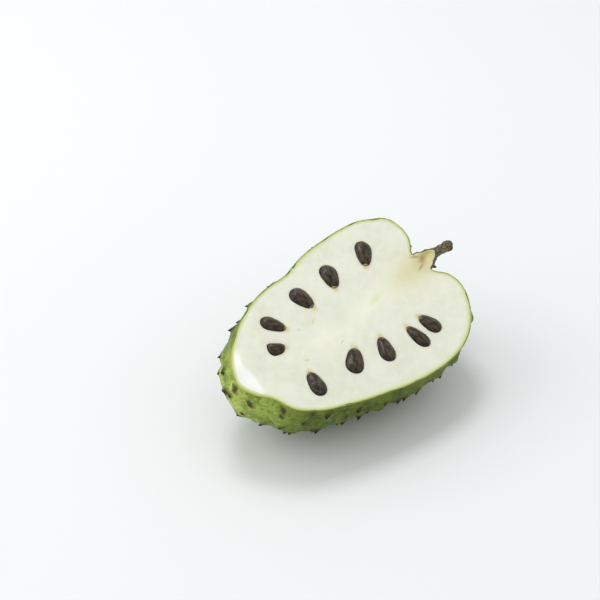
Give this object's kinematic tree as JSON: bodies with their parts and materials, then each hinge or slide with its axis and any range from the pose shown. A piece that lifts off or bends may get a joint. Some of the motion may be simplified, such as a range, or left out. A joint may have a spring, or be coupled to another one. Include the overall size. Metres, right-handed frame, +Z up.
{
  "type": "half soursop",
  "caption": "Half of a spiny green tropical fruit, cut lengthwise through its stem, lying on its skin with the seeded white flesh facing up and forward.",
  "frame": {"origin": "on the floor, in the middle of the flattened spot of skin that the half rests on", "axes": "+Z up; +X level, from the blossom end to the stem; -Y towards the side that the cut face leans to"},
  "size_m": [0.1775, 0.1027, 0.0765],
  "materials": {
    "rind": "satin, green and mottled, with dark brown spines",
    "flesh": "moist, creamy white",
    "seed": "smooth, very dark brown",
    "stem": "rough brown bark, with a pale cut root"
  },
  "bodies": {
    "root": {"rind": "rind", "flesh": "flesh", "stem": "stem", "seed_01": "seed", "seed_02": "seed", "seed_03": "seed", "seed_04": "seed", "seed_05": "seed", "seed_06": "seed", "seed_07": "seed", "seed_08": "seed", "seed_09": "seed", "seed_10": "seed"}
  },
  "joints": []
}
